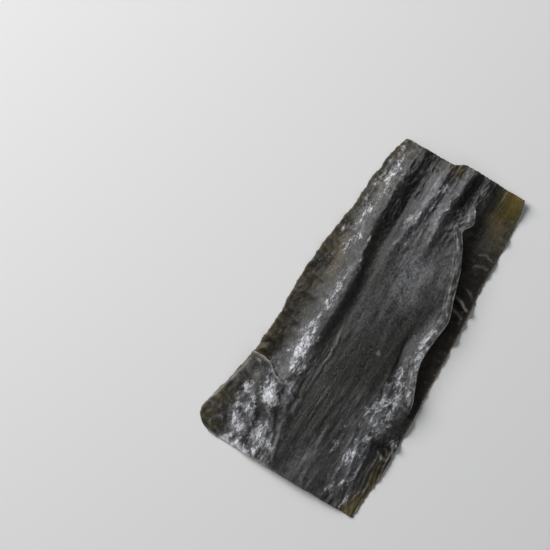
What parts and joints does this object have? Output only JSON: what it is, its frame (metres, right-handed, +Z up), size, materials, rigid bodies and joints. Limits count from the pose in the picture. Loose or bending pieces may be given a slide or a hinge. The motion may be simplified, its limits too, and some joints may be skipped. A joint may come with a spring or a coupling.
{
  "type": "dried kelp sheet",
  "caption": "Flat rectangular sheet of dried kelp with ruffled margins, a lengthwise pleat, a torn side edge and a white powdery bloom.",
  "frame": {"origin": "on the surface that the leaf rests on, below the middle of its box", "axes": "+Z up, away from the surface; +Y along the leaf, towards its narrower cut end; +X across the leaf, towards the pleated margin"},
  "size_m": [0.1286, 0.2446, 0.0133],
  "materials": {
    "kelp": "blackish olive, dull to satin, with a patchy white powdery bloom and thinner olive-brown margins"
  },
  "bodies": {
    "root": {"kelp_sheet": "kelp"}
  },
  "joints": []
}
